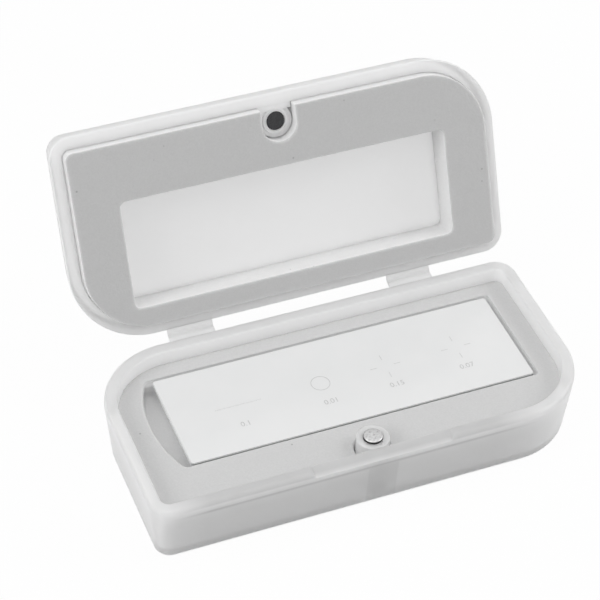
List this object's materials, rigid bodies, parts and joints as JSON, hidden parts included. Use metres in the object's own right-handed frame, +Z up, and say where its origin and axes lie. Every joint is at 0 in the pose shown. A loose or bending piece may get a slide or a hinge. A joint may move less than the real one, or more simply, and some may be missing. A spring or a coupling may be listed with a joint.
{
  "type": "hemocytometer",
  "caption": "Open translucent hinged slide case with foam lining, a magnet catch and a glass calibration slide.",
  "frame": {"origin": "centre of the base's underside, where the case stands on a table", "axes": "+X along the slide and the long side, +Y from the thumb notch to the hinge, +Z up"},
  "size_m": [0.097, 0.0703, 0.0581],
  "materials": {
    "frosted_shell": "frosted translucent polypropylene",
    "light_foam": "closed-cell foam, light grey",
    "grey_foam": "closed-cell foam, mid grey",
    "adhesive_film": "thin adhesive film",
    "nickel_plate": "bright nickel plate",
    "dark_magnet": "dark sintered magnet",
    "slide_glass": "clear glass with fine etched marks"
  },
  "bodies": {
    "base": {"base_shell": "frosted_shell", "base_foam": "light_foam", "base_foam_tape": "adhesive_film", "base_magnet": "nickel_plate", "hinge_strap_left": "frosted_shell", "hinge_strap_right": "frosted_shell"},
    "lid": {"lid_shell": "frosted_shell", "lid_foam": "grey_foam", "lid_foam_tape": "adhesive_film", "lid_magnet": "dark_magnet"},
    "slide": {"calibration_slide": "slide_glass"}
  },
  "joints": [
    {"name": "lid_hinge", "type": "hinge", "parent": "base", "child": "lid", "pos_m": [0, 0.0244, 0.0142], "axis": [-1, 0, 0], "range_deg": [-111.8, 68.2]},
    {"name": "slide_lift", "type": "slide", "parent": "base", "child": "slide", "axis": [0, 0, 1], "range_m": [0, 0.0011]}
  ]
}
